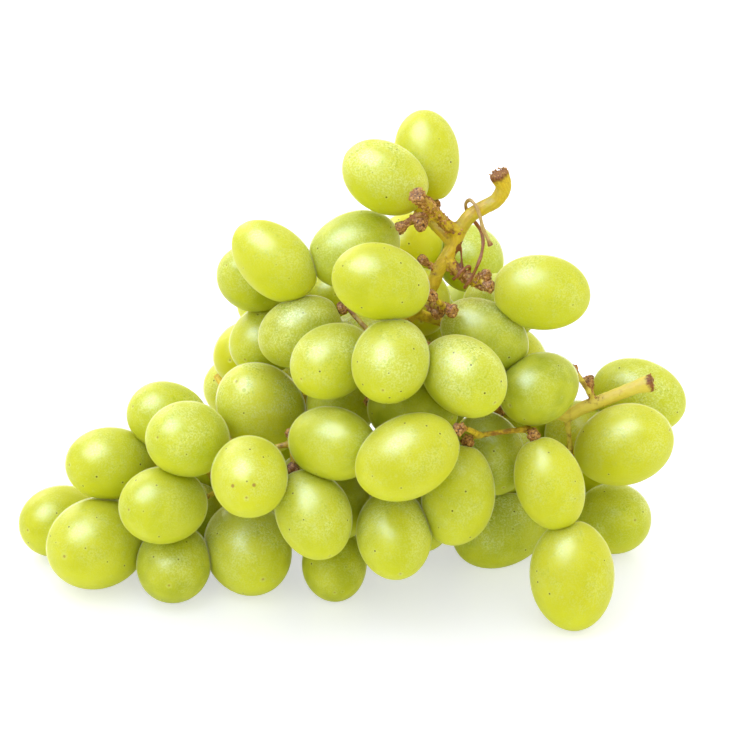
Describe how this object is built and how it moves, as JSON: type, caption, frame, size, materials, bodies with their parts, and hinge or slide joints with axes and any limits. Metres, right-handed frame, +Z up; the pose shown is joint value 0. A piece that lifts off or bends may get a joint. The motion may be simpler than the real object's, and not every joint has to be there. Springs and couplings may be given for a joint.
{
  "type": "bunch of grapes",
  "caption": "Bunch of oval white table grapes lying in a loose heap, berries in sprays on a branched woody stalk with a cut stem end and a dry tendril.",
  "frame": {"origin": "middle of the bunch's outline seen from above, on the surface that it lies on", "axes": "+X along the bunch from its tail to its right wing, +Y away from its front, +Z up"},
  "size_m": [0.1735, 0.1164, 0.1156],
  "materials": {
    "berry_skin": "taut translucent yellow-green skin, satin with a pale waxy bloom and fine brown dots",
    "stalk_wood": "matt yellow-green to tan young wood with brown warty collars",
    "tendril_wood": "matt dry reddish-brown fibre"
  },
  "bodies": {
    "root": {"berries_crown": "berry_skin", "berries_left": "berry_skin", "berries_front": "berry_skin", "berries_right": "berry_skin", "berries_wing": "berry_skin", "berries_foot": "berry_skin", "berries_low": "berry_skin", "berries_middle": "berry_skin", "berries_tail": "berry_skin", "berries_back_top": "berry_skin", "berries_back_left": "berry_skin", "berries_back_right": "berry_skin", "stalk": "stalk_wood", "tendril": "tendril_wood"}
  },
  "joints": []
}
